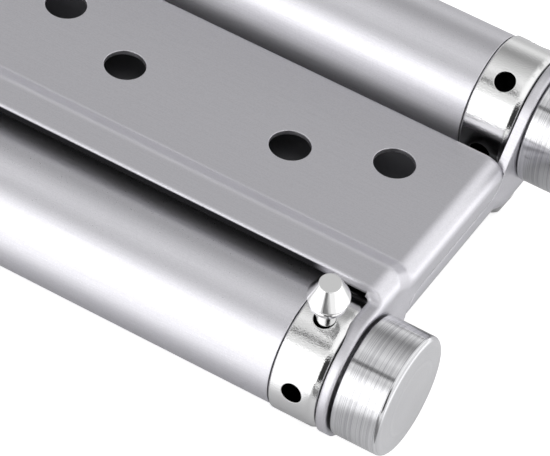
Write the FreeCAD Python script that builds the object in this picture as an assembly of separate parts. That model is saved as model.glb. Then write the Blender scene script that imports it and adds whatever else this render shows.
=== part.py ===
import FreeCAD, Part
import math
import os

# Double action cafe hinge, closed, in millimetres.
# X runs along the barrels, Y across the two leaves, Z is square to the leaves.
# The origin is the middle of the hinge. Half a turn about X swaps the two leaves,
# so leaf 1 (the door leaf, on top) is modelled once and leaf 2 is the same piece turned.

# Sheet metal
SHEET = 1.6
BEND_INNER_RADIUS = 1.7
JOGGLE_INNER_RADIUS = 2.0

# Barrels: two tubes rolled from the edges of one sheet
BARREL_DIAMETER = 20.5
AXIS_APART_Y = 57.8
AXIS_APART_Z = 8.4
SEAM_CLEARANCE = 0.3

# Leaves
LEAF_LENGTH = 150.0
FAR_EDGE_FROM_AXIS = 14.1
CREASE_FROM_AXIS = 14.8
JOGGLE_RUN = 4.0
STRIP_EDGE_FROM_AXIS = 5.2
WEB_CLEARANCE = 0.65
STRIP_CLEARANCE = 1.76
FLANGE_GAP = 0.3
FLANGE_CORNER_RADIUS = 3.5
EAR_STEP = 0.35
EAR_FILLET_RADIUS = 1.5

# Screw holes: two rows in a zigzag, countersunk from the inner face
HOLE_DIAMETER = 6.8
HOLE_PITCH = 15.2
HOLE_ROW_HALF_OFFSET = 3.2
HOLE_ROWS_FROM_FAR_EDGE = 13.6
HOLE_LAND = 0.8
COUNTERSINK_HALF_ANGLE = 45.0
HIGH_ROW_STEPS = (-4, 0, 4)
LOW_ROW_STEPS = (-3, -1, 1, 3)

# Spindles
SPINDLE_DIAMETER = 7.2
STUD_DIAMETER = 6.0
STUD_LENGTH = 5.4
RUNNING_CLEARANCE = 0.05

# Heads at the barrel ends: a flange outside the barrel, a boss inside it
HEAD_STEP = 0.3
HEAD_FLANGE_LENGTH = 8.05
HEAD_BOSS_LENGTH = 10.0
HEAD_JOINT_GAP = 0.15
HEAD_BEVEL_OUTER = 1.1
HEAD_BEVEL_OUTER_DEPTH = 0.45
HEAD_BEVEL_INNER = 0.35
WASHER_THICKNESS = 0.4
WASHER_STEP = 1.35
FACE_GAP = 0.05

# Tension holes and pins
TENSION_HOLE_COUNT = 5
TENSION_HOLE_DIAMETER = 3.5
TENSION_HOLE_DEPTH = 4.6
PIN_ANGLE = {1: 104.0, 2: 264.0}
PIN_CLEARANCE = 0.2
PIN_LEAN_OUTWARD = 3.5
PIN_LEAN_TO_STRIP = 2.8
PIN_SHANK_SHOWING = 4.2
PIN_SHANK_BOTTOM_GAP = 0.3
PIN_SHOULDER_HEIGHT = 0.35
PIN_BEAD_HEIGHT = 0.75
PIN_GROOVE_DEPTH = 0.18
PIN_BEAD_DIAMETER = 6.0
PIN_GROOVE_HEIGHT = 0.3
PIN_RIM_DIAMETER = 6.6
PIN_RIM_HEIGHT = 0.75
PIN_CONE_HEIGHT = 3.4
PIN_TIP_DIAMETER = 3.45

# Torsion springs, wound from square wire
WIRE_SIZE = 3.0
WIRE_PITCH = 3.8
SPRING_BORE_GAP = 0.45
SPRING_END_GAP = 0.6
SPRING_LEG_LENGTH = 7.0
LEG_SLOT_CLEARANCE = 0.1
LEG_FROM_PIN_ANGLE = 36.0

# Cross pins that hold the fixed heads in the barrels
LOCK_PIN_DIAMETER = 2.5
LOCK_PIN_FROM_BARREL_END = 5.0
LOCK_PIN_LENGTH = 4.8
LOCK_PIN_ANGLE = -50.0

# End knobs
KNOB_DIAMETER = 20.0
KNOB_LENGTH = 8.8
KNOB_GAP = {1: 0.35, 2: 0.1}
KNOB_NECK_DIAMETER = 14.0
KNOB_EDGE_RADIUS = 0.9
KNOB_DOME_HEIGHT = 0.45
KNOB_INNER_CHAMFER = 0.3
KNOB_BORE_END_GAP = 0.6

# Worked out from the sizes above
BARREL_R = BARREL_DIAMETER / 2
BARREL_INNER_R = BARREL_R - SHEET
MIDDLE_R = BARREL_R - SHEET / 2
AXIS_Y = AXIS_APART_Y / 2
AXIS_Z = AXIS_APART_Z / 2
AXIS_DISTANCE = math.hypot(AXIS_APART_Y, AXIS_APART_Z)
WEB_TILT = math.asin(2 * MIDDLE_R / AXIS_DISTANCE) - math.atan2(AXIS_APART_Z, AXIS_APART_Y)
BEND_OUTER_RADIUS = BEND_INNER_RADIUS + SHEET
HALF_LENGTH = LEAF_LENGTH / 2
EAR_INNER_X = HALF_LENGTH - SHEET
FAR_EDGE_Y = AXIS_Y - FAR_EDGE_FROM_AXIS
CREASE_Y = CREASE_FROM_AXIS - AXIS_Y
STRIP_START_Y = CREASE_Y - JOGGLE_RUN
STRIP_EDGE_Y = STRIP_EDGE_FROM_AXIS - AXIS_Y
WEB_TOP_AT_CREASE = -CREASE_Y * math.tan(WEB_TILT) + SHEET / 2 / math.cos(WEB_TILT)
LEAF_INNER_Z = WEB_TOP_AT_CREASE + WEB_CLEARANCE
LEAF_FACE_Z = LEAF_INNER_Z + SHEET
STRIP_INNER_Z = math.sqrt((BARREL_R + STRIP_CLEARANCE) ** 2 - STRIP_EDGE_FROM_AXIS ** 2) - AXIS_Z
STRIP_FACE_Z = STRIP_INNER_Z + SHEET
JOGGLE_RISE = STRIP_FACE_Z - LEAF_FACE_Z
EAR_R = BARREL_R + EAR_STEP
HEAD_R = BARREL_R + HEAD_STEP
SPINDLE_R = SPINDLE_DIAMETER / 2
BORE_R = SPINDLE_R + RUNNING_CLEARANCE
HEAD_OUTER_X = EAR_INNER_X - 2 * FACE_GAP - WASHER_THICKNESS
HEAD_INNER_X = HEAD_OUTER_X - HEAD_FLANGE_LENGTH
BARREL_END_X = HEAD_INNER_X - HEAD_JOINT_GAP
BOSS_END_X = HEAD_INNER_X - HEAD_BOSS_LENGTH
BOSS_R = BARREL_INNER_R - RUNNING_CLEARANCE
TENSION_HOLE_X = (HEAD_INNER_X + HEAD_OUTER_X) / 2
COIL_R = BARREL_INNER_R - SPRING_BORE_GAP - WIRE_SIZE / 2
COIL_TURNS = int(2 * (BOSS_END_X - SPRING_END_GAP - WIRE_SIZE / 2) / WIRE_PITCH)
COIL_END_X = COIL_TURNS * WIRE_PITCH / 2
AXIS = {1: (-AXIS_Y, -AXIS_Z), 2: (AXIS_Y, AXIS_Z)}


def vec(x, y, z):
    return FreeCAD.Vector(x, y, z)


def polar(centre, radius, degrees):
    """Point (y, z) at an angle about a barrel axis, measured from +Y towards +Z."""
    turn = math.radians(degrees)
    return (centre[0] + radius * math.cos(turn), centre[1] + radius * math.sin(turn))


def rounded_edges(points, radii, closed=True):
    """Edges in the YZ plane through the points, each corner rounded by its radius."""
    count = len(points)
    corners = []
    for i, (y, z) in enumerate(points):
        here = vec(0, y, z)
        if radii[i] == 0:
            corners.append((here, None, here))
            continue
        back = (vec(0, *points[i - 1]) - here).normalize()
        ahead = (vec(0, *points[(i + 1) % count]) - here).normalize()
        half = back.getAngle(ahead) / 2
        reach = radii[i] / math.tan(half)
        middle = (back + ahead).normalize()
        crown = here + middle * (radii[i] / math.sin(half) - radii[i])
        corners.append((here + back * reach, crown, here + ahead * reach))
    edges = []
    for i in range(count):
        start, crown, end = corners[i]
        if crown is not None:
            edges.append(Part.Arc(start, crown, end).toShape())
        if closed or i < count - 1:
            edges.append(Part.makeLine(end, corners[(i + 1) % count][0]))
    return edges


def prism(edges, x_start, x_end):
    """Solid of a closed YZ outline between two planes across X."""
    face = Part.Face(Part.Wire(edges))
    face.translate(vec(x_start, 0, 0))
    return face.extrude(vec(x_end - x_start, 0, 0))


def turned(profile, centre):
    """Solid turned about a barrel axis from an (x, radius) outline."""
    points = [vec(x, centre[0], centre[1] + radius) for x, radius in profile]
    face = Part.Face(Part.makePolygon(points + points[:1]))
    return face.revolve(vec(0, *centre), vec(1, 0, 0), 360)


def rod(centre, radius, x_start, x_end):
    """Cylinder along a barrel axis."""
    return Part.makeCylinder(radius, x_end - x_start, vec(x_start, *centre), vec(1, 0, 0))


def radial_rod(centre, x, degrees, radius, r_start, r_end):
    """Cylinder standing square to a barrel axis, between two distances from it."""
    foot = polar(centre, r_start, degrees)
    turn = math.radians(degrees)
    direction = vec(0, math.cos(turn), math.sin(turn))
    return Part.makeCylinder(radius, r_end - r_start, vec(x, *foot), direction)


def half_turned(shape):
    """The shape turned half a turn about X: the second leaf's side of the hinge."""
    copy = shape.copy()
    copy.rotate(vec(0, 0, 0), vec(1, 0, 0), 180)
    return copy


def sheet_line(depth, inner_first):
    """Corners and radii of the leaf's cross-section at a depth below its outer face."""
    slope = math.atan2(JOGGLE_RISE, JOGGLE_RUN)
    shift = depth * math.tan(slope / 2)
    face_z = LEAF_FACE_Z - depth
    strip_z = STRIP_FACE_Z - depth
    radii = (JOGGLE_INNER_RADIUS, JOGGLE_INNER_RADIUS + SHEET)
    first, second = radii if inner_first else radii[::-1]
    points = [(CREASE_Y - shift, face_z), (STRIP_START_Y - shift, strip_z)]
    return points, [first, second]


def tub(depth, inner_first, half_x, bend_radius, y_low, y_high, z_low):
    """Block under the leaf's cross-section, its upper end edges rounded like the bends."""
    points, radii = sheet_line(depth, inner_first)
    outline = [(y_high, z_low), (y_high, LEAF_FACE_Z - depth)] + points
    outline += [(y_low, STRIP_FACE_Z - depth), (y_low, z_low)]
    block = prism(rounded_edges(outline, [0, 0] + radii + [0, 0]), -half_x, half_x)
    top = [
        edge for edge in block.Edges
        if abs(abs(edge.CenterOfMass.x) - half_x) < 0.001
        and edge.CenterOfMass.z > LEAF_FACE_Z - depth - 0.001
    ]
    return block.makeFillet(bend_radius, top)


def tangent_point(point, centre, radius, side):
    """Where a straight edge from a point touches the ear's round end."""
    dy = point[0] - centre[0]
    dz = point[1] - centre[1]
    opening = math.acos(radius / math.hypot(dy, dz))
    return polar(centre, radius, math.degrees(math.atan2(dz, dy) + side * opening))


def end_outline():
    """Outline of the bent end: flange across the leaf, rounded far corner, ear about axis 1."""
    top = STRIP_FACE_Z + SHEET
    edge_z = FLANGE_GAP / 2
    corner = FLANGE_CORNER_RADIUS
    relief = corner + FLANGE_GAP
    relief_y = -(FAR_EDGE_Y - corner)
    shoulder = (relief_y - relief, edge_z - relief)
    lower = tangent_point(shoulder, AXIS[1], EAR_R, -1)
    fillet = EAR_FILLET_RADIUS
    upper = polar(AXIS[1], EAR_R, 90)
    fillet_start = (STRIP_EDGE_Y - fillet, upper[1])
    fillet_centre = (fillet_start[0], upper[1] + fillet)
    under_strip = (STRIP_EDGE_Y, fillet_centre[1])
    far_arc = Part.Arc(
        vec(0, FAR_EDGE_Y, edge_z + corner),
        vec(0, *polar((FAR_EDGE_Y - corner, edge_z + corner), corner, -45)),
        vec(0, FAR_EDGE_Y - corner, edge_z),
    )
    relief_arc = Part.Arc(
        vec(0, relief_y, edge_z),
        vec(0, *polar((relief_y, edge_z - relief), relief, 135)),
        vec(0, *shoulder),
    )
    round_end = Part.Arc(vec(0, *lower), vec(0, *polar(AXIS[1], EAR_R, 220)), vec(0, *upper))
    strip_arc = Part.Arc(
        vec(0, *fillet_start),
        vec(0, *polar(fillet_centre, fillet, -45)),
        vec(0, *under_strip),
    )
    return [
        Part.makeLine(vec(0, FAR_EDGE_Y, top), vec(0, FAR_EDGE_Y, edge_z + corner)),
        far_arc.toShape(),
        Part.makeLine(vec(0, FAR_EDGE_Y - corner, edge_z), vec(0, relief_y, edge_z)),
        relief_arc.toShape(),
        Part.makeLine(vec(0, *shoulder), vec(0, *lower)),
        round_end.toShape(),
        Part.makeLine(vec(0, *upper), vec(0, *fillet_start)),
        strip_arc.toShape(),
        Part.makeLine(vec(0, *under_strip), vec(0, STRIP_EDGE_Y, top)),
        Part.makeLine(vec(0, STRIP_EDGE_Y, top), vec(0, FAR_EDGE_Y, top)),
    ]


def screw_hole(x, y):
    """Cutter for one screw hole: a straight land at the outer face, then the countersink."""
    radius = HOLE_DIAMETER / 2
    sink_depth = SHEET - HOLE_LAND
    grown = radius + sink_depth * math.tan(math.radians(COUNTERSINK_HALF_ANGLE))
    down = vec(0, 0, -1)
    land = Part.makeCylinder(radius, SHEET, vec(x, y, LEAF_FACE_Z), down)
    sink = Part.makeCone(radius, grown, sink_depth, vec(x, y, LEAF_FACE_Z - HOLE_LAND), down)
    return land.fuse(sink)


def make_leaf():
    """One leaf folded from sheet: plate with a raised strip, two end flanges and their ears."""
    y_low = -AXIS_Y - EAR_R - SHEET
    z_low = -AXIS_Z - EAR_R - SHEET
    outer = tub(0, True, HALF_LENGTH, BEND_OUTER_RADIUS, y_low, FAR_EDGE_Y, z_low)
    inner = tub(
        SHEET, False, EAR_INNER_X, BEND_INNER_RADIUS, y_low - SHEET, FAR_EDGE_Y + SHEET, z_low - SHEET
    )
    shell = outer.cut(inner)
    bend_start_x = HALF_LENGTH - BEND_OUTER_RADIUS
    plate_top = STRIP_FACE_Z + SHEET
    keep = Part.makeBox(
        2 * bend_start_x, FAR_EDGE_Y - STRIP_EDGE_Y, plate_top, vec(-bend_start_x, STRIP_EDGE_Y, 0)
    )
    outline = end_outline()
    near_end = prism(outline, bend_start_x, HALF_LENGTH)
    far_end = prism(outline, -HALF_LENGTH, -bend_start_x)
    leaf = shell.common(keep.fuse([near_end, far_end]))
    row_y = FAR_EDGE_Y - HOLE_ROWS_FROM_FAR_EDGE
    places = [(step * HOLE_PITCH, row_y + HOLE_ROW_HALF_OFFSET) for step in HIGH_ROW_STEPS]
    places += [(step * HOLE_PITCH, row_y - HOLE_ROW_HALF_OFFSET) for step in LOW_ROW_STEPS]
    cutters = [screw_hole(x, y) for x, y in places]
    cutters.append(rod(AXIS[1], BORE_R, -HALF_LENGTH - SHEET, HALF_LENGTH + SHEET))
    return leaf.cut(cutters).removeSplitter()


def rolled_tube(centre, leave_angle):
    """One edge of the sheet curled into a barrel; the curl ends under the web it leaves."""
    under_web = math.degrees(math.acos((BARREL_INNER_R - SEAM_CLEARANCE) / BARREL_R))
    start = leave_angle
    sweep = 360 - under_web
    middle = start + sweep / 2
    edges = [
        Part.Arc(
            vec(0, *polar(centre, BARREL_R, start)),
            vec(0, *polar(centre, BARREL_R, middle)),
            vec(0, *polar(centre, BARREL_R, start + sweep)),
        ).toShape(),
        Part.makeLine(
            vec(0, *polar(centre, BARREL_R, start + sweep)),
            vec(0, *polar(centre, BARREL_INNER_R, start + sweep)),
        ),
        Part.Arc(
            vec(0, *polar(centre, BARREL_INNER_R, start + sweep)),
            vec(0, *polar(centre, BARREL_INNER_R, middle)),
            vec(0, *polar(centre, BARREL_INNER_R, start)),
        ).toShape(),
        Part.makeLine(
            vec(0, *polar(centre, BARREL_INNER_R, start)), vec(0, *polar(centre, BARREL_R, start))
        ),
    ]
    return prism(edges, -BARREL_END_X, BARREL_END_X)


def make_web_barrels():
    """The middle sheet: it leaves barrel 1 at the top and runs into barrel 2 at the bottom."""
    leave_1 = 90 - math.degrees(WEB_TILT)
    leave_2 = leave_1 + 180
    web_corners = [
        polar(AXIS[1], BARREL_R, leave_1),
        polar(AXIS[1], BARREL_INNER_R, leave_1),
        polar(AXIS[2], BARREL_R, leave_2),
        polar(AXIS[2], BARREL_INNER_R, leave_2),
    ]
    web = prism(rounded_edges(web_corners, [0] * 4), -BARREL_END_X, BARREL_END_X)
    body = web.fuse([rolled_tube(AXIS[1], leave_1), rolled_tube(AXIS[2], leave_2)])
    holes = [lock_pin_shape(barrel, RUNNING_CLEARANCE, SHEET) for barrel in AXIS]
    return body.cut(holes).removeSplitter()


def lock_pin_shape(barrel, clearance, extra):
    """Cross pin through the barrel wall into the fixed head, or the cutter for its hole."""
    turn = LOCK_PIN_ANGLE + (180 if barrel == 2 else 0)
    x = LOCK_PIN_FROM_BARREL_END - BARREL_END_X
    return radial_rod(
        AXIS[barrel], x, turn, LOCK_PIN_DIAMETER / 2 + clearance,
        BARREL_R - LOCK_PIN_LENGTH - clearance, BARREL_R + extra,
    )


def make_lock_pin(barrel):
    """The cross pin, its outer end dressed flush with the barrel."""
    pin = lock_pin_shape(barrel, 0, SHEET)
    return pin.common(rod(AXIS[barrel], BARREL_R, -BARREL_END_X, BARREL_END_X))


def head_blank(barrel):
    """Turned head at the +X end of a barrel: bevelled flange outside, boss inside."""
    profile = [
        (HEAD_OUTER_X, BORE_R),
        (HEAD_OUTER_X, HEAD_R - HEAD_BEVEL_OUTER_DEPTH),
        (HEAD_OUTER_X - HEAD_BEVEL_OUTER, HEAD_R),
        (HEAD_INNER_X + HEAD_BEVEL_INNER, HEAD_R),
        (HEAD_INNER_X, HEAD_R - HEAD_BEVEL_INNER),
        (HEAD_INNER_X, BOSS_R),
        (BOSS_END_X, BOSS_R),
        (BOSS_END_X, BORE_R),
    ]
    head = turned(profile, AXIS[barrel])
    return head.cut(leg_bar(barrel, LEG_SLOT_CLEARANCE, BOSS_R))


def leg_bar(barrel, clearance, r_end):
    """Straight leg of the spring at the +X end, or the cutter for its slot in a head's boss."""
    centre = AXIS[barrel]
    half = WIRE_SIZE / 2 + clearance
    r_start = COIL_R - half
    reach = COIL_END_X + WIRE_SIZE / 2 + SPRING_LEG_LENGTH + clearance
    corner = vec(COIL_END_X, centre[0] + r_start, centre[1] - half)
    bar = Part.makeBox(reach - COIL_END_X, r_end - r_start, 2 * half, corner)
    bar.rotate(vec(0, *centre), vec(1, 0, 0), PIN_ANGLE[barrel] + LEG_FROM_PIN_ANGLE)
    return bar


def make_tension_collar(barrel):
    """Tension collar: the head at the near end, with a ring of radial holes for the pin."""
    collar = head_blank(barrel)
    pitch = 360 / TENSION_HOLE_COUNT
    holes = [
        radial_rod(
            AXIS[barrel], TENSION_HOLE_X, PIN_ANGLE[barrel] + i * pitch,
            TENSION_HOLE_DIAMETER / 2, HEAD_R - TENSION_HOLE_DEPTH, HEAD_R + SHEET,
        )
        for i in range(TENSION_HOLE_COUNT)
    ]
    return collar.cut(holes)


def make_fixed_head(barrel):
    """Fixed head: the same blank at the other end, cross-drilled for its lock pin."""
    head = head_blank(barrel).mirror(vec(0, 0, 0), vec(1, 0, 0))
    return head.cut(lock_pin_shape(barrel, RUNNING_CLEARANCE, 0))


def make_tension_pin(barrel):
    """Tension pin: shank, head with two beads and a cone, leaning a little in its loose hole."""
    shank_r = TENSION_HOLE_DIAMETER / 2 - PIN_CLEARANCE
    foot = HEAD_R - TENSION_HOLE_DEPTH + PIN_SHANK_BOTTOM_GAP
    rim_r = PIN_RIM_DIAMETER / 2
    bead_r = PIN_BEAD_DIAMETER / 2
    groove_r = bead_r - PIN_GROOVE_DEPTH
    neck = HEAD_R + PIN_SHANK_SHOWING
    bead = neck + PIN_SHOULDER_HEIGHT
    groove = bead + PIN_BEAD_HEIGHT
    rim = groove + PIN_GROOVE_HEIGHT
    cone = rim + PIN_RIM_HEIGHT
    tip = cone + PIN_CONE_HEIGHT
    outline = [
        (0, foot),
        (shank_r, foot),
        (shank_r, neck),
        (bead_r - PIN_SHOULDER_HEIGHT, neck),
        (bead_r, bead),
        (bead_r, groove - PIN_GROOVE_DEPTH),
        (groove_r, groove),
        (groove_r, rim),
        (rim_r, cone - PIN_GROOVE_DEPTH),
        (rim_r, cone),
        (PIN_TIP_DIAMETER / 2, tip),
        (0, tip),
    ]
    centre = AXIS[barrel]
    points = [vec(TENSION_HOLE_X + radius, centre[0], centre[1] + height) for radius, height in outline]
    face = Part.Face(Part.makePolygon(points + points[:1]))
    pin = face.revolve(vec(TENSION_HOLE_X, *centre), vec(0, 0, 1), 360)
    half_way = vec(TENSION_HOLE_X, centre[0], centre[1] + HEAD_R - TENSION_HOLE_DEPTH / 2)
    pin.rotate(half_way, vec(0, 1, 0), PIN_LEAN_OUTWARD)
    pin.rotate(half_way, vec(1, 0, 0), -PIN_LEAN_TO_STRIP)
    pin.rotate(vec(0, *centre), vec(1, 0, 0), PIN_ANGLE[barrel] - 90)
    return pin


def make_washer(barrel, end):
    """Thin washer between a head and the ear; end is 1 at the front and -1 at the rear."""
    start = HEAD_OUTER_X + FACE_GAP
    outer = rod(AXIS[barrel], HEAD_R - WASHER_STEP, start, start + WASHER_THICKNESS)
    ring = outer.cut(rod(AXIS[barrel], BORE_R, start - SHEET, start + SHEET))
    return ring if end == 1 else ring.mirror(vec(0, 0, 0), vec(1, 0, 0))


def make_spindle(barrel):
    """Spindle through the heads and both ears, with a stud at each end for its knob."""
    shaft = rod(AXIS[barrel], SPINDLE_R, -HALF_LENGTH, HALF_LENGTH)
    reach = HALF_LENGTH + STUD_LENGTH
    return shaft.fuse(rod(AXIS[barrel], STUD_DIAMETER / 2, -reach, reach)).removeSplitter()


def make_knob(barrel, end):
    """Turned end knob: neck against the ear, cylinder, rounded edge and low dome."""
    knob_r = KNOB_DIAMETER / 2
    start = HALF_LENGTH + KNOB_GAP[barrel]
    face = start + KNOB_LENGTH - KNOB_DOME_HEIGHT
    flat_r = knob_r - KNOB_EDGE_RADIUS
    bore_end = HALF_LENGTH + STUD_LENGTH + KNOB_BORE_END_GAP
    stud_r = STUD_DIAMETER / 2
    centre = AXIS[barrel]

    def at(x, radius):
        return vec(x, centre[0], centre[1] + radius)

    corner = (face - KNOB_EDGE_RADIUS, flat_r)
    edge_mid = KNOB_EDGE_RADIUS / math.sqrt(2)
    dome_r = (flat_r ** 2 + KNOB_DOME_HEIGHT ** 2) / (2 * KNOB_DOME_HEIGHT)
    dome_mid = face + KNOB_DOME_HEIGHT - dome_r + math.sqrt(dome_r ** 2 - (flat_r / 2) ** 2)
    straight = [
        (bore_end, 0),
        (bore_end, stud_r),
        (HALF_LENGTH, stud_r),
        (HALF_LENGTH, KNOB_NECK_DIAMETER / 2),
        (start, KNOB_NECK_DIAMETER / 2),
        (start, knob_r - KNOB_INNER_CHAMFER),
        (start + KNOB_INNER_CHAMFER, knob_r),
        (corner[0], knob_r),
    ]
    edges = [Part.makeLine(at(*a), at(*b)) for a, b in zip(straight, straight[1:])]
    edges.append(
        Part.Arc(
            at(corner[0], knob_r), at(corner[0] + edge_mid, corner[1] + edge_mid), at(face, flat_r)
        ).toShape()
    )
    edges.append(
        Part.Arc(at(face, flat_r), at(dome_mid, flat_r / 2), at(face + KNOB_DOME_HEIGHT, 0)).toShape()
    )
    edges.append(Part.makeLine(at(face + KNOB_DOME_HEIGHT, 0), at(bore_end, 0)))
    knob = Part.Face(Part.Wire(edges)).revolve(vec(0, *centre), vec(1, 0, 0), 360)
    return knob if end == 1 else knob.mirror(vec(0, 0, 0), vec(1, 0, 0))


def make_spring(barrel):
    """Torsion spring: a square-wire coil between the heads with a straight leg into each."""
    half = WIRE_SIZE / 2
    turns = []
    for i in range(COIL_TURNS):
        turn = Part.makeHelix(WIRE_PITCH, WIRE_PITCH, COIL_R)
        turn.translate(vec(0, 0, i * WIRE_PITCH))
        turns += turn.Edges
    corners = [
        vec(COIL_R + side * half, 0, rise * half)
        for side, rise in ((-1, -1), (1, -1), (1, 1), (-1, 1), (-1, -1))
    ]
    section = Part.makePolygon(corners)
    coil = Part.Wire(turns).makePipeShell([section], True, True)
    coil.translate(vec(0, 0, -COIL_END_X))
    coil.rotate(vec(0, 0, 0), vec(0, 1, 0), 90)
    coil.rotate(vec(0, 0, 0), vec(1, 0, 0), PIN_ANGLE[barrel] + LEG_FROM_PIN_ANGLE + 90)
    coil.translate(vec(0, *AXIS[barrel]))
    front_leg = leg_bar(barrel, 0, COIL_R + half)
    rear_leg = front_leg.mirror(vec(0, 0, 0), vec(1, 0, 0))
    return coil.fuse([front_leg, rear_leg])


def main():
    leaf = make_leaf()
    pieces = {"door_leaf": leaf, "jamb_leaf": half_turned(leaf), "web_barrels": make_web_barrels()}
    for barrel in AXIS:
        pieces[f"spindle_{barrel}"] = make_spindle(barrel)
        pieces[f"torsion_spring_{barrel}"] = make_spring(barrel)
        pieces[f"fixed_head_{barrel}"] = make_fixed_head(barrel)
        pieces[f"head_lock_pin_{barrel}"] = make_lock_pin(barrel)
        pieces[f"tension_collar_{barrel}"] = make_tension_collar(barrel)
        pieces[f"tension_pin_{barrel}"] = make_tension_pin(barrel)
        for end, place in ((1, "front"), (-1, "rear")):
            pieces[f"washer_{place}_{barrel}"] = make_washer(barrel, end)
            pieces[f"end_knob_{place}_{barrel}"] = make_knob(barrel, end)
    os.makedirs("parts", exist_ok=True)
    for name, shape in pieces.items():
        shape.exportStep(f"parts/{name}.step")
        box = shape.BoundBox
        print(
            f"{name}: {len(shape.Solids)} solid, {shape.Volume:.1f} mm3, valid {shape.isValid()},"
            f" x {box.XMin:.2f} to {box.XMax:.2f}, y {box.YMin:.2f} to {box.YMax:.2f},"
            f" z {box.ZMin:.2f} to {box.ZMax:.2f}"
        )


main()
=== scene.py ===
import logging
import math
from dataclasses import dataclass
from enum import Enum
from typing import Any

import bpy
from mathutils import Matrix, Vector


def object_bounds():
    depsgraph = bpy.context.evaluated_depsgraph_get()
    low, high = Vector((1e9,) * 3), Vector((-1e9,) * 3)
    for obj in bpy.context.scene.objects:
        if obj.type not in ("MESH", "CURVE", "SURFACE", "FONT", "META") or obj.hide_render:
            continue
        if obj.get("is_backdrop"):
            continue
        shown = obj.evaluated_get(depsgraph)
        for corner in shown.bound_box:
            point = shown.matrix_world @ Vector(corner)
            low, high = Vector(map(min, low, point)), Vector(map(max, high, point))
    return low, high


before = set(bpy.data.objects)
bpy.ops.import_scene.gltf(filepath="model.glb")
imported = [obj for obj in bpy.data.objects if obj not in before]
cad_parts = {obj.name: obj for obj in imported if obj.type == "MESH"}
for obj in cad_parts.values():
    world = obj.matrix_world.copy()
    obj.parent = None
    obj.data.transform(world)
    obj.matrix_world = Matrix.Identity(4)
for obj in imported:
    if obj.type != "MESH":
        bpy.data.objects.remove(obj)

"""A double action cafe hinge, lying closed on a pale floor.

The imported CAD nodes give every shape. This script shades their curved faces smooth
and their edges as if they were rounded, gives each node the finish of the real
piece, and sets up the floor, the light and the camera.
"""

LOG = logging.getLogger("hinge_scene")
MM = 0.001
AXIS_Y = 28.9 * MM
AXIS_Z = 4.2 * MM
GAP_HEADING = -58.0
GAP_SOFTNESS = 7.0
NOISE_ROUGHNESS = 0.6
BEVEL_SAMPLES = 6

Socket = bpy.types.NodeSocket
Tree = bpy.types.NodeTree
Colour = tuple[float, float, float, float]


class Facing(Enum):
    """Which way a leaf's inner side looks, as a sign along Z."""

    DOWN = -1
    UP = 1


def linear(hex_colour: str) -> Colour:
    """Turn an sRGB hex colour into linear RGBA.

    Args:
        hex_colour: Colour such as "#C8C9CB".

    Returns:
        Linear red, green, blue and an alpha of 1.
    """
    parts = [int(hex_colour[i : i + 2], 16) / 255 for i in (1, 3, 5)]
    r, g, b = (c / 12.92 if c <= 0.04045 else ((c + 0.055) / 1.055) ** 2.4 for c in parts)
    return (r, g, b, 1.0)


def add_node(
    tree: Tree,
    kind: str,
    settings: dict[str, Any] | None = None,
    values: dict[Any, Any] | None = None,
    links: dict[Any, Socket] | None = None,
) -> bpy.types.Node:
    """Add one node with its settings, socket values and links.

    Args:
        tree: Node tree that gets the node.
        kind: Node type identifier.
        settings: Attributes of the node.
        values: Default values by input name or index.
        links: Output sockets to link, by input name or index.

    Returns:
        The new node.
    """
    node = tree.nodes.new(kind)
    for name, value in (settings or {}).items():
        setattr(node, name, value)
    for name, value in (values or {}).items():
        node.inputs[name].default_value = value
    for name, socket in (links or {}).items():
        tree.links.new(socket, node.inputs[name])
    return node


def sort_inputs(inputs: dict[Any, Any]) -> tuple[dict[Any, Any], dict[Any, Socket]]:
    """Part a node's inputs into plain values and sockets, as add_node takes them.

    Args:
        inputs: A value or an output socket for each input name or index.

    Returns:
        The plain values and the sockets.
    """
    values = {name: value for name, value in inputs.items() if not isinstance(value, Socket)}
    links = {name: value for name, value in inputs.items() if isinstance(value, Socket)}
    return values, links


def calc(tree: Tree, operation: str, first: Any, second: Any = 0.0) -> Socket:
    """Work out one number in a node tree.

    Args:
        tree: Node tree that gets the node.
        operation: Operation of the math node.
        first: A socket or a number.
        second: A socket or a number.

    Returns:
        The result socket.
    """
    numbers = sort_inputs({0: first, 1: second})
    return add_node(tree, "ShaderNodeMath", {"operation": operation}, *numbers).outputs[0]


def product(tree: Tree, first: Any, *others: Any) -> Socket:
    """Multiply sockets or numbers with each other.

    Args:
        tree: Node tree that gets the nodes.
        first: The first factor.
        others: The other factors.

    Returns:
        The product socket.
    """
    for other in others:
        first = calc(tree, "MULTIPLY", first, other)
    return first


def parts_of(tree: Tree, vector: Socket) -> tuple[Socket, Socket, Socket]:
    """Take a vector apart into its X, Y and Z."""
    outputs = add_node(tree, "ShaderNodeSeparateXYZ", links={0: vector}).outputs
    return outputs["X"], outputs["Y"], outputs["Z"]


def soft_step(tree: Tree, value: Socket, low: float, high: float) -> Socket:
    """Go smoothly from 0 at low to 1 at high, or down where low is the larger.

    Args:
        tree: Node tree that gets the node.
        value: The number that is compared.
        low: Where the result is 0.
        high: Where the result is 1.

    Returns:
        The result socket.
    """
    return add_node(
        tree, "ShaderNodeMapRange", {"interpolation_type": "SMOOTHSTEP"},
        {"From Min": low, "From Max": high, "To Min": 0.0, "To Max": 1.0}, {"Value": value},
    ).outputs[0]


def set_ramp(node: bpy.types.Node, stops: list[tuple[float, Colour]]) -> None:
    """Give a colour ramp its stops.

    Args:
        node: The ramp node.
        stops: Pairs of position and linear colour, in order.
    """
    elements = node.color_ramp.elements
    while len(elements) < len(stops):
        elements.new(1.0)
    for element, (place, colour) in zip(elements, stops):
        element.position = place
        element.color = colour


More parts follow.
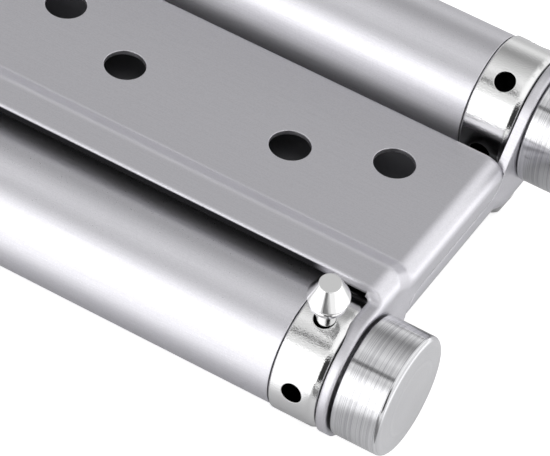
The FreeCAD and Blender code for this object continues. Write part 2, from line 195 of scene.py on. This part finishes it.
def mix_number(tree: Tree, amount: Socket, first: Any, second: Any) -> Socket:
    """Mix two numbers, each a socket or a plain number.

    Args:
        tree: Node tree that gets the node.
        amount: 0 for the first number, 1 for the second.
        first: The first number.
        second: The second number.

    Returns:
        The mixed number socket.
    """
    inputs = sort_inputs({0: amount, 2: first, 3: second})
    return add_node(tree, "ShaderNodeMix", {"data_type": "FLOAT"}, *inputs).outputs[0]


def mix_colour(tree: Tree, amount: Socket, first: Any, second: Any) -> Socket:
    """Mix two colours, each a socket or a linear colour.

    Args:
        tree: Node tree that gets the node.
        amount: 0 for the first colour, 1 for the second.
        first: The first colour.
        second: The second colour.

    Returns:
        The mixed colour socket.
    """
    inputs = sort_inputs({0: amount, 6: first, 7: second})
    return add_node(tree, "ShaderNodeMix", {"data_type": "RGBA"}, *inputs).outputs[2]


def cross_product(tree: Tree, first: Socket, second: Socket) -> Socket:
    """Direction square to two others."""
    return add_node(
        tree, "ShaderNodeVectorMath", {"operation": "CROSS_PRODUCT"}, links={0: first, 1: second}
    ).outputs[0]


def noise(tree: Tree, at: Socket, cell_mm: tuple[float, float, float], detail: float) -> Socket:
    """Noise whose cells measure cell_mm along X, Y and Z.

    Args:
        tree: Node tree that gets the nodes.
        at: Place in metres.
        cell_mm: Size of one cell.
        detail: How many finer layers are added.

    Returns:
        A number about 0.5.
    """
    stretched = add_node(
        tree, "ShaderNodeMapping", {"vector_type": "POINT"},
        {"Scale": tuple(1 / (side * MM) for side in cell_mm)}, {"Vector": at},
    )
    return add_node(
        tree, "ShaderNodeTexNoise", {}, {"Scale": 1.0, "Detail": detail, "Roughness": NOISE_ROUGHNESS},
        {"Vector": stretched.outputs[0]},
    ).outputs["Fac"]


def blank_material(name: str) -> tuple[bpy.types.Material, Tree]:
    """Make an empty node material.

    Args:
        name: Name of the material.

    Returns:
        The material and its empty node tree.
    """
    material = bpy.data.materials.new(name)
    material.use_nodes = True
    material.node_tree.nodes.clear()
    return material, material.node_tree


@dataclass(frozen=True)
class Place:
    """Where a shading point is on its piece, which goes with the piece in every pose."""

    at: Socket
    normal: Socket

    @classmethod
    def of(cls, tree: Tree) -> "Place":
        """Read the place and the normal in the piece's own frame."""
        source = add_node(tree, "ShaderNodeTexCoord")
        return cls(source.outputs["Object"], source.outputs["Normal"])

    def from_axis(self, tree: Tree) -> tuple[Socket, Socket, Socket]:
        """Measure from the barrel axis on this side of the hinge.

        Args:
            tree: Node tree that gets the nodes.

        Returns:
            The place along the axis, the distance from it, both in metres, and the
            direction in which a lathe tool's lines are crossed on the surface.
        """
        x, y, z = parts_of(tree, self.at)
        side = calc(tree, "SIGN", y)
        over = calc(tree, "SUBTRACT", y, product(tree, side, AXIS_Y))
        up = calc(tree, "SUBTRACT", z, product(tree, side, AXIS_Z))
        squares = calc(tree, "ADD", product(tree, over, over), product(tree, up, up))
        back = product(tree, up, -1.0)
        ring = add_node(tree, "ShaderNodeCombineXYZ", {}, {"X": 0.0}, {"Y": back, "Z": over}).outputs[0]
        crossing = cross_product(tree, ring, self.normal)
        return x, calc(tree, "SQRT", squares), crossing


def metal(
    tree: Tree,
    colour: Any,
    roughness: Any,
    height: Socket,
    bump_mm: float,
    edge: Any,
    anisotropy: float = 0.0,
    tangent: Socket | None = None,
) -> None:
    """Finish a metal material: bump, shader and output.

    Args:
        tree: Node tree of the material.
        colour: Socket or linear colour.
        roughness: Socket or number.
        height: Height pattern of the bump.
        bump_mm: Height of the pattern from its lowest to its highest value.
        edge: Radius in metres to which the edges look rounded, as a socket or number.
        anisotropy: How far highlights are drawn out.
        tangent: Direction for the anisotropy.
    """
    rounded = add_node(
        tree, "ShaderNodeBevel", {"samples": BEVEL_SAMPLES}, *sort_inputs({"Radius": edge})
    )
    raised = add_node(
        tree, "ShaderNodeBump", {}, {"Strength": 1.0, "Distance": bump_mm * MM},
        {"Height": height, "Normal": rounded.outputs[0]},
    )
    inputs = {
        "Base Color": colour, "Roughness": roughness, "Metallic": 1.0, "Anisotropic": anisotropy,
        "Normal": raised.outputs["Normal"],
    }
    if tangent is not None:
        inputs["Tangent"] = tangent
    shader = add_node(tree, "ShaderNodeBsdfPrincipled", {}, *sort_inputs(inputs))
    add_node(tree, "ShaderNodeOutputMaterial", links={"Surface": shader.outputs[0]})


@dataclass(frozen=True)
class BrushedStainless:
    """Stainless sheet brushed with an abrasive belt along the hinge.

    The eye sees an even, slightly cool grey with hairline scratches along it and a
    fine sandy sparkle, drawn out across the grain wherever the sheet curves. The
    side that ends up inside the hinge gets no brushed bump, and its colour is painted
    a darker grey there, as painted shade.
    """

    name: str
    colour: str = "#D3D2D7"
    scratch_colour: str = "#C9C8CD"
    tone_span: tuple[float, float] = (0.36, 0.60)
    inner_shade_colour: str = "#6C6C6F"
    inner_fade_mm: float = 1.0
    roughness: float = 0.36
    roughness_swing: float = 0.05
    roughness_span: tuple[float, float] = (0.3, 0.7)
    anisotropy: float = 0.55
    scratch_cell_mm: tuple[float, float, float] = (7.0, 0.13, 0.13)
    scratch_detail: float = 3.0
    scratch_amount: float = 0.5
    sand_cell_mm: tuple[float, float, float] = (0.24, 0.17, 0.17)
    sand_detail: float = 1.0
    bump_mm: float = 0.008
    edge_mm: float = 0.25

    def inner_shade_mask(self, tree: Tree, place: Place) -> Socket:
        """Say where the sheet is the inner side of the hinge, whose colour is painted darker as painted
        shade.
        """
        raise NotImplementedError

    def edge_radius(self, tree: Tree, place: Place) -> Any:
        """Give the radius to which the edges look rounded."""
        return self.edge_mm * MM

    def paint_shade_and_dull(self, tree: Tree, place: Place, colour: Socket, rough: Socket) -> tuple[Socket, Socket]:
        """Paint shade into the colour and change the roughness where the piece differs from plain sheet.
        """
        return colour, rough

    def build(self) -> bpy.types.Material:
        """Make the material."""
        material, tree = blank_material(self.name)
        place = Place.of(tree)
        scratches = noise(tree, place.at, self.scratch_cell_mm, self.scratch_detail)
        sand = noise(tree, place.at, self.sand_cell_mm, self.sand_detail)
        weighed = product(tree, scratches, self.scratch_amount)
        grain = calc(tree, "ADD", weighed, product(tree, sand, 1 - self.scratch_amount))
        tone = add_node(tree, "ShaderNodeValToRGB", links={"Fac": grain})
        tones = (linear(self.scratch_colour), linear(self.colour))
        set_ramp(tone, list(zip(self.tone_span, tones)))
        rough = add_node(
            tree, "ShaderNodeMapRange", {},
            {
                "From Min": self.roughness_span[0], "From Max": self.roughness_span[1],
                "To Min": self.roughness + self.roughness_swing,
                "To Max": self.roughness - self.roughness_swing,
            },
            {"Value": grain},
        ).outputs["Result"]
        # Painted shade: the inner side of the hinge is painted a darker grey and gets no bump.
        mask = self.inner_shade_mask(tree, place)
        height = product(tree, grain, calc(tree, "SUBTRACT", 1.0, mask))
        colour = mix_colour(tree, mask, tone.outputs["Color"], linear(self.inner_shade_colour))
        colour, rough = self.paint_shade_and_dull(tree, place, colour, rough)
        along = add_node(tree, "ShaderNodeCombineXYZ", {}, {"X": 1.0, "Y": 0.0, "Z": 0.0}).outputs[0]
        across = cross_product(tree, along, place.normal)
        edge = self.edge_radius(tree, place)
        metal(tree, colour, rough, height, self.bump_mm, edge, self.anisotropy, across)
        return material


@dataclass(frozen=True)
class LeafStainless(BrushedStainless):
    """Brushed sheet of a leaf, with long edges that a shear has cut.

    The eye sees a fine bright line along each long edge, where the blade has dragged
    the metal round. Below it, the strip's edge is painted dark, as painted shade.
    """

    inner_side: Facing = Facing.DOWN
    inward_span: tuple[float, float] = (0.3, 0.5)
    flange_from_mm: float = 72.5
    sheared_edge_mm: float = 0.8
    far_edge_from_mm: float = 12.5
    strip_from_mm: float = 21.5
    edge_fade_mm: float = 1.0
    edge_shade_colour: str = "#262628"
    edge_shade_below_mm: float = 7.85
    edge_shade_line_mm: float = 0.2
    edge_shade_between_mm: tuple[float, float] = (21.0, 26.0)
    edge_shade_to_mm: float = 66.0
    edge_shade_end_fade_mm: float = 4.0
    sideways_span: tuple[float, float] = (0.85, 0.95)

    def inner_shade_mask(self, tree: Tree, place: Place) -> Socket:
        """Say where the leaf's inner side is painted darker as painted shade, short of the end flanges.
        """
        inward = product(tree, parts_of(tree, place.normal)[2], float(self.inner_side.value))
        end = calc(tree, "ABSOLUTE", parts_of(tree, place.at)[0])
        start = self.flange_from_mm * MM
        inside = soft_step(tree, end, start, start - self.inner_fade_mm * MM)
        return product(tree, soft_step(tree, inward, *self.inward_span), inside)

    def edge_radius(self, tree: Tree, place: Place) -> Any:
        """Give the radius to which the edges look rounded: more along the long edges."""
        side = product(tree, parts_of(tree, place.at)[1], -float(self.inner_side.value))
        far, strip = self.far_edge_from_mm * MM, self.strip_from_mm * MM
        fade = self.edge_fade_mm * MM
        at_far = soft_step(tree, side, far, far + fade)
        at_strip = soft_step(tree, side, -strip, -strip - fade)
        sheared = calc(tree, "MAXIMUM", at_far, at_strip)
        return mix_number(tree, sheared, self.edge_mm * MM, self.sheared_edge_mm * MM)

    def paint_shade_and_dull(self, tree: Tree, place: Place, colour: Socket, rough: Socket) -> tuple[Socket, Socket]:
        """Paint the strip's edge dark where it faces the barrel, as painted shade."""
        x, y, z = parts_of(tree, place.at)
        facing = soft_step(
            tree, calc(tree, "ABSOLUTE", parts_of(tree, place.normal)[1]), *self.sideways_span
        )
        side, end = calc(tree, "ABSOLUTE", y), calc(tree, "ABSOLUTE", x)
        inner, outer = (edge * MM for edge in self.edge_shade_between_mm)
        fade = self.edge_fade_mm * MM
        to, end_fade = self.edge_shade_to_mm * MM, self.edge_shade_end_fade_mm * MM
        top, line = self.edge_shade_below_mm * MM, self.edge_shade_line_mm * MM
        outward = product(tree, z, -float(self.inner_side.value))
        # Painted shade: where the strip's edge faces the barrel, it is painted near black.
        edge_shade = product(
            tree, facing,
            soft_step(tree, side, inner, inner + fade), soft_step(tree, side, outer, outer - fade),
            soft_step(tree, end, to, to - end_fade), soft_step(tree, outward, top, top - line),
        )
        return mix_colour(tree, edge_shade, colour, linear(self.edge_shade_colour)), rough


@dataclass(frozen=True)
class BarrelStainless(BrushedStainless):
    """Brushed sheet of the two barrels and the web between them.

    The eye sees a coarser sanded grain than on the leaves. It is duller where the
    belt couldn't reach, deep between the barrels.
    """

    roughness: float = 0.31
    bump_mm: float = 0.018
    inner_half_width_mm: float = 18.0
    matte_within_mm: float = 18.9
    matte_fade_mm: float = 1.5
    matte_roughness: float = 0.62

    def near_middle(self, tree: Tree, place: Place, half_mm: float, fade_mm: float) -> Socket:
        """Say where the piece is less than half_mm to either side of the hinge's middle."""
        side = calc(tree, "ABSOLUTE", parts_of(tree, place.at)[1])
        return soft_step(tree, side, (half_mm + fade_mm) * MM, half_mm * MM)

    def inner_shade_mask(self, tree: Tree, place: Place) -> Socket:
        """Say where the web between the barrels is painted darker as painted shade."""
        return self.near_middle(tree, place, self.inner_half_width_mm, self.inner_fade_mm)

    def paint_shade_and_dull(self, tree: Tree, place: Place, colour: Socket, rough: Socket) -> tuple[Socket, Socket]:
        """Dull the sheet between the barrels."""
        matte = self.near_middle(tree, place, self.matte_within_mm, self.matte_fade_mm)
        return colour, mix_number(tree, matte, rough, self.matte_roughness)


@dataclass(frozen=True)
class NickelPlate:
    """Bright nickel over a turned steel piece.

    The eye sees a neutral mirror whose reflections break up over a fine orange peel.
    Inside the holes the colour is painted black, as painted shade.
    """

    name: str = "nickel_plate_bright"
    colour: str = "#DDDDDD"
    hole_shade_colour: str = "#0C0C0C"
    hole_shade_within_mm: float = 9.9
    hole_shade_fade_mm: float = 0.1
    roughness: float = 0.05
    peel_mm: float = 0.24
    peel_detail: float = 2.0
    bump_mm: float = 0.024
    edge_mm: float = 0.15

    def build(self) -> bpy.types.Material:
        """Make the material."""
        material, tree = blank_material(self.name)
        place = Place.of(tree)
        peel = noise(tree, place.at, (self.peel_mm,) * 3, self.peel_detail)
        colour: Any = linear(self.colour)
        # Painted shade: near the axis, inside the holes, the colour is painted black.
        if self.hole_shade_within_mm:
            distance = place.from_axis(tree)[1]
            edge, fade = self.hole_shade_within_mm * MM, self.hole_shade_fade_mm * MM
            hole_shade = soft_step(tree, distance, edge + fade, edge - fade)
            colour = mix_colour(tree, hole_shade, colour, linear(self.hole_shade_colour))
        metal(tree, colour, self.roughness, peel, self.bump_mm, self.edge_mm * MM)
        return material


@dataclass(frozen=True)
class TurnedSteel:
    """Steel turned on a lathe and lightly plated, with its tool lines left on.

    The eye sees crisp fine rings around the axis, on the rim and across the face,
    each catching the light a little differently.
    """

    name: str = "steel_turned"
    colour: str = "#D4D4D6"
    line_colour: str = "#AFAFB2"
    tone_span: tuple[float, float] = (0.35, 0.60)
    roughness: float = 0.18
    anisotropy: float = 0.60
    feed_mm: float = 0.085
    feed_detail: float = 1.0
    face_span: tuple[float, float] = (0.6, 0.9)
    face_smoothness: float = 0.75
    bump_mm: float = 0.006
    edge_mm: float = 0.12

    def build(self) -> bpy.types.Material:
        """Make the material."""
        material, tree = blank_material(self.name)
        place = Place.of(tree)
        along, distance, crossing = place.from_axis(tree)
        turned = add_node(tree, "ShaderNodeCombineXYZ", links={0: along, 1: distance}).outputs[0]
        rings = noise(tree, turned, (self.feed_mm,) * 3, self.feed_detail)
        end_on = calc(tree, "ABSOLUTE", parts_of(tree, place.normal)[0])
        faded = product(tree, soft_step(tree, end_on, *self.face_span), self.face_smoothness)
        kept = calc(tree, "SUBTRACT", 1.0, faded)
        rings = calc(tree, "ADD", product(tree, calc(tree, "SUBTRACT", rings, 0.5), kept), 0.5)
        tone = add_node(tree, "ShaderNodeValToRGB", links={"Fac": rings})
        tones = (linear(self.line_colour), linear(self.colour))
        set_ramp(tone, list(zip(self.tone_span, tones)))
        colour, edge = tone.outputs["Color"], self.edge_mm * MM
        metal(tree, colour, self.roughness, rings, self.bump_mm, edge, self.anisotropy, crossing)
        return material


@dataclass
class PieceGroup:
    """CAD nodes that share one finish."""

    nodes: list[str]
    finish: Any
    smooth_degrees: float = 35.0
    weld_mm: float = 0.002
    flat_degrees: float = 1.0

    def dress(self) -> None:
        """Smooth the curved faces of each node, keep its flat ones flat and give it the finish."""
        material = self.finish.build()
        smoothing = smooth_group(self.smooth_degrees)
        for name in self.nodes:
            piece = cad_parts[name]
            piece.data.materials.clear()
            piece.data.materials.append(material)
            weld = piece.modifiers.new("join_facets", "WELD")
            weld.merge_threshold = self.weld_mm * MM
            flat = piece.modifiers.new("merge_flats", "DECIMATE")
            flat.decimate_type = "DISSOLVE"
            flat.angle_limit = math.radians(self.flat_degrees)
            shade = piece.modifiers.new("smooth_shading", "NODES")
            shade.node_group = smoothing
            weighted = piece.modifiers.new("flat_faces", "WEIGHTED_NORMAL")
            weighted.keep_sharp = True
            LOG.info("%s: %s", name, self.finish.name)


def smooth_group(degrees: float) -> bpy.types.GeometryNodeTree:
    """Geometry nodes that shade a mesh smooth except across sharp edges.

    Args:
        degrees: Edges sharper than this stay sharp.

    Returns:
        The node group.
    """
    tree = bpy.data.node_groups.new(f"smooth_{degrees:.0f}", "GeometryNodeTree")
    tree.interface.new_socket("Geometry", in_out="INPUT", socket_type="NodeSocketGeometry")
    tree.interface.new_socket("Geometry", in_out="OUTPUT", socket_type="NodeSocketGeometry")
    start = add_node(tree, "NodeGroupInput")
    faces = add_node(
        tree, "GeometryNodeSetShadeSmooth", {"domain": "FACE"}, {"Shade Smooth": True},
        {"Geometry": start.outputs[0]},
    )
    angle = add_node(tree, "GeometryNodeInputMeshEdgeAngle")
    sharp = add_node(
        tree, "FunctionNodeCompare", {"data_type": "FLOAT", "operation": "GREATER_THAN"},
        {1: math.radians(degrees)}, {0: angle.outputs["Unsigned Angle"]},
    )
    edges = add_node(
        tree, "GeometryNodeSetShadeSmooth", {"domain": "EDGE"}, {"Shade Smooth": False},
        {"Geometry": faces.outputs[0], "Selection": sharp.outputs[0]},
    )
    add_node(tree, "NodeGroupOutput", links={0: edges.outputs[0]})
    return tree


def beside_gap(tree: Tree, x: Socket, y: Socket, half_width: float) -> Socket:
    """Say how far a heading is from the dark gap between the front and the end walls.

    The gap gives bright round pieces the dark stripe down their middle.

    Args:
        tree: Node tree that gets the nodes.
        x: First part of the heading.
        y: Second part of the heading.
        half_width: How far the gap reaches to each side, in degrees.

    Returns:
        0 inside the gap and 1 beside it.
    """
    heading = calc(tree, "ARCTAN2", y, x)
    off = calc(tree, "ABSOLUTE", calc(tree, "SUBTRACT", heading, math.radians(GAP_HEADING)))
    edge = math.radians(half_width)
    return soft_step(tree, off, edge, edge + math.radians(GAP_SOFTNESS))


@dataclass
class Surround:
    """Soft studio walls around the hinge, given as brightness by direction.

    around gives the brightness at angles turned about the hinge's length, from the
    horizon behind (0) over the top (90) to the horizon in front (180).
    """

    around: tuple[tuple[float, float], ...] = (
        (0, 0.66), (18, 1.05), (32, 0.62), (44, 0.35), (54, 0.46), (64, 0.64), (74, 0.78),
        (84, 1.00), (92, 1.15), (100, 0.92), (108, 0.86), (112, 0.95), (114.5, 0.12), (119.5, 0.12),
        (122, 1.10), (132, 0.92), (140, 1.60), (152, 2.30), (166, 2.00), (180, 2.20),
    )
    brightest: float = 4.0
    side_level: float = 1.35
    side_from: float = -0.25
    side_to: float = 0.50
    gap_level: float = 0.05
    gap_half_width: float = 15.0
    gap_top: tuple[float, float] = (0.60, 0.80)

    def level(self, tree: Tree) -> Socket:
        """Work out the brightness for a direction."""
        heading = add_node(tree, "ShaderNodeTexCoord").outputs["Generated"]
        x, y, z = parts_of(tree, heading)
        turn = calc(tree, "ARCTAN2", calc(tree, "MAXIMUM", z, 0.0), y)
        ramp = add_node(tree, "ShaderNodeValToRGB", links={"Fac": calc(tree, "DIVIDE", turn, math.pi)})
        set_ramp(ramp, [(angle / 180, (v / self.brightest,) * 3 + (1.0,)) for angle, v in self.around])
        walls = product(tree, ramp.outputs["Color"], self.brightest)
        side = soft_step(tree, x, self.side_from, self.side_to)
        lit = mix_number(tree, side, walls, self.side_level)
        above = soft_step(tree, z, *self.gap_top)
        seen = calc(tree, "MAXIMUM", beside_gap(tree, x, y, self.gap_half_width), above)
        return mix_number(tree, seen, self.gap_level, lit)

    def build(self) -> None:
        """Make the world: the surround for the metal, plain white for the camera."""
        world = bpy.data.worlds.new("studio_surround")
        bpy.context.scene.world = world
        world.use_nodes = True
        tree = world.node_tree
        tree.nodes.clear()
        level = self.level(tree)
        room = add_node(tree, "ShaderNodeBackground", {}, {"Color": (1, 1, 1, 1)}, {"Strength": level})
        white = add_node(tree, "ShaderNodeBackground", {}, {"Color": (1, 1, 1, 1), "Strength": 1.0})
        ray = add_node(tree, "ShaderNodeLightPath")
        seen = add_node(
            tree, "ShaderNodeMixShader", {}, {},
            {0: ray.outputs["Is Camera Ray"], 1: room.outputs[0], 2: white.outputs[0]},
        )
        add_node(tree, "ShaderNodeOutputWorld", links={"Surface": seen.outputs[0]})


@dataclass
class Floor:
    """A wide pale sheet under the hinge, almost white to the camera.

    In the metal, the sheet is mirrored bright in front of the hinge and past its end,
    as the photo's white background is, and dark where the gap between the walls is.
    """

    height: float
    half_width: float = 3.0
    colour: str = "#D2D2D3"
    camera_glow: float = 0.75
    front_glow: float = 0.95
    front_span: tuple[float, float] = (-0.040, -0.065)
    front_end: tuple[float, float] = (0.072, 0.060)
    end_glow: tuple[tuple[float, float], ...] = ((0.070, 0.0), (0.088, 0.26), (0.098, 0.26), (0.125, 1.2))
    end_scale: float = 5.0
    gap_colour: str = "#202020"
    gap_half_width: float = 36.0
    gap_corner: tuple[float, float] = (0.086, -0.042)

    def build(self) -> None:
        """Make the sheet and its paper."""
        half = self.half_width
        mesh = bpy.data.meshes.new("floor")
        corners = [(-half, -half), (half, -half), (half, half), (-half, half)]
        mesh.from_pydata([(x, y, self.height) for x, y in corners], [], [(0, 1, 2, 3)])
        floor = bpy.data.objects.new("floor", mesh)
        bpy.context.scene.collection.objects.link(floor)
        material, tree = blank_material("floor_paper")
        x, y = parts_of(tree, Place.of(tree).at)[:2]
        ray = add_node(tree, "ShaderNodeLightPath")
        offsets = [calc(tree, "SUBTRACT", at, corner) for at, corner in zip((x, y), self.gap_corner)]
        in_gap = calc(tree, "SUBTRACT", 1.0, beside_gap(tree, *offsets, self.gap_half_width))
        dark = product(tree, ray.outputs["Is Glossy Ray"], in_gap)
        tone = mix_colour(tree, dark, linear(self.colour), linear(self.gap_colour))
        paper = add_node(tree, "ShaderNodeBsdfDiffuse", links={"Color": tone})
        before = soft_step(tree, y, *self.front_span)
        front = product(tree, before, soft_step(tree, x, *self.front_end), self.front_glow)
        end = add_node(tree, "ShaderNodeValToRGB", links={"Fac": product(tree, x, self.end_scale)})
        set_ramp(end, [(at * self.end_scale, (level,) * 3 + (1.0,)) for at, level in self.end_glow])
        around = calc(tree, "ADD", front, end.outputs["Color"])
        mirrored = product(tree, ray.outputs["Is Glossy Ray"], around)
        looked_at = product(tree, ray.outputs["Is Camera Ray"], self.camera_glow)
        glow = add_node(
            tree, "ShaderNodeEmission", {}, {"Color": (1, 1, 1, 1)},
            {"Strength": calc(tree, "ADD", mirrored, looked_at)},
        )
        seen = add_node(tree, "ShaderNodeAddShader", links={0: paper.outputs[0], 1: glow.outputs[0]})
        add_node(tree, "ShaderNodeOutputMaterial", links={"Surface": seen.outputs[0]})
        mesh.materials.append(material)
        floor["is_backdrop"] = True


@dataclass
class Camera:
    """The camera at the photo's angle, given by its own axes."""

    place_mm: tuple[float, float, float] = (236.10, -419.33, 438.45)
    right: tuple[float, float, float] = (0.85618249, 0.50580352, 0.10542457)
    up: tuple[float, float, float] = (-0.42297416, 0.5689848, 0.70522985)
    back: tuple[float, float, float] = (0.29672276, -0.64839733, 0.70109665)
    lens_mm: float = 265.1
    sensor_mm: float = 36.0
    clip_start: float = 0.01

    def build(self) -> None:
        """Place the camera where the photo was taken from."""
        camera = bpy.data.objects.new("camera", bpy.data.cameras.new("camera"))
        bpy.context.scene.collection.objects.link(camera)
        camera.data.lens = self.lens_mm
        camera.data.sensor_width = self.sensor_mm
        camera.data.clip_start = self.clip_start
        turn = Matrix((self.right, self.up, self.back)).transposed()
        place = Matrix.Translation(Vector(self.place_mm) * MM)
        camera.matrix_world = place @ turn.to_4x4()
        bpy.context.scene.camera = camera


def both(*names: str) -> list[str]:
    """Each name for barrel 1 and for barrel 2."""
    return [f"{name}_{barrel}" for name in names for barrel in (1, 2)]


def piece_groups() -> list[PieceGroup]:
    """List which finish each CAD node gets."""
    door = LeafStainless(name="stainless_door_leaf", inner_side=Facing.DOWN)
    jamb = LeafStainless(name="stainless_jamb_leaf", inner_side=Facing.UP)
    barrels = BarrelStainless(name="stainless_barrels")
    pin = NickelPlate(name="nickel_plate_mirror", hole_shade_within_mm=0.0, roughness=0.03, bump_mm=0.002)
    knob = TurnedSteel(name="steel_turned_plated")
    wire = TurnedSteel(name="spring_wire_oiled", colour="#77787A", line_colour="#6A6B6D")
    return [
        PieceGroup(["door_leaf"], door),
        PieceGroup(["jamb_leaf"], jamb),
        PieceGroup(["web_barrels"], barrels),
        PieceGroup(both("tension_collar", "fixed_head"), NickelPlate()),
        PieceGroup(both("tension_pin"), pin),
        PieceGroup(both("end_knob_front", "end_knob_rear"), knob),
        PieceGroup(both("spindle", "washer_front", "washer_rear", "head_lock_pin"), TurnedSteel()),
        PieceGroup(both("torsion_spring"), wire),
    ]


def main() -> None:
    """Dress every piece, then set the studio and the camera."""
    logging.basicConfig(level=logging.INFO, format="%(name)s: %(message)s")
    bpy.context.scene.view_settings.view_transform = "Standard"
    cad_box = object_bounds()
    for group in piece_groups():
        group.dress()
    Surround().build()
    Floor(height=cad_box[0][2]).build()
    Camera().build()


if __name__ == "__main__":
    main()
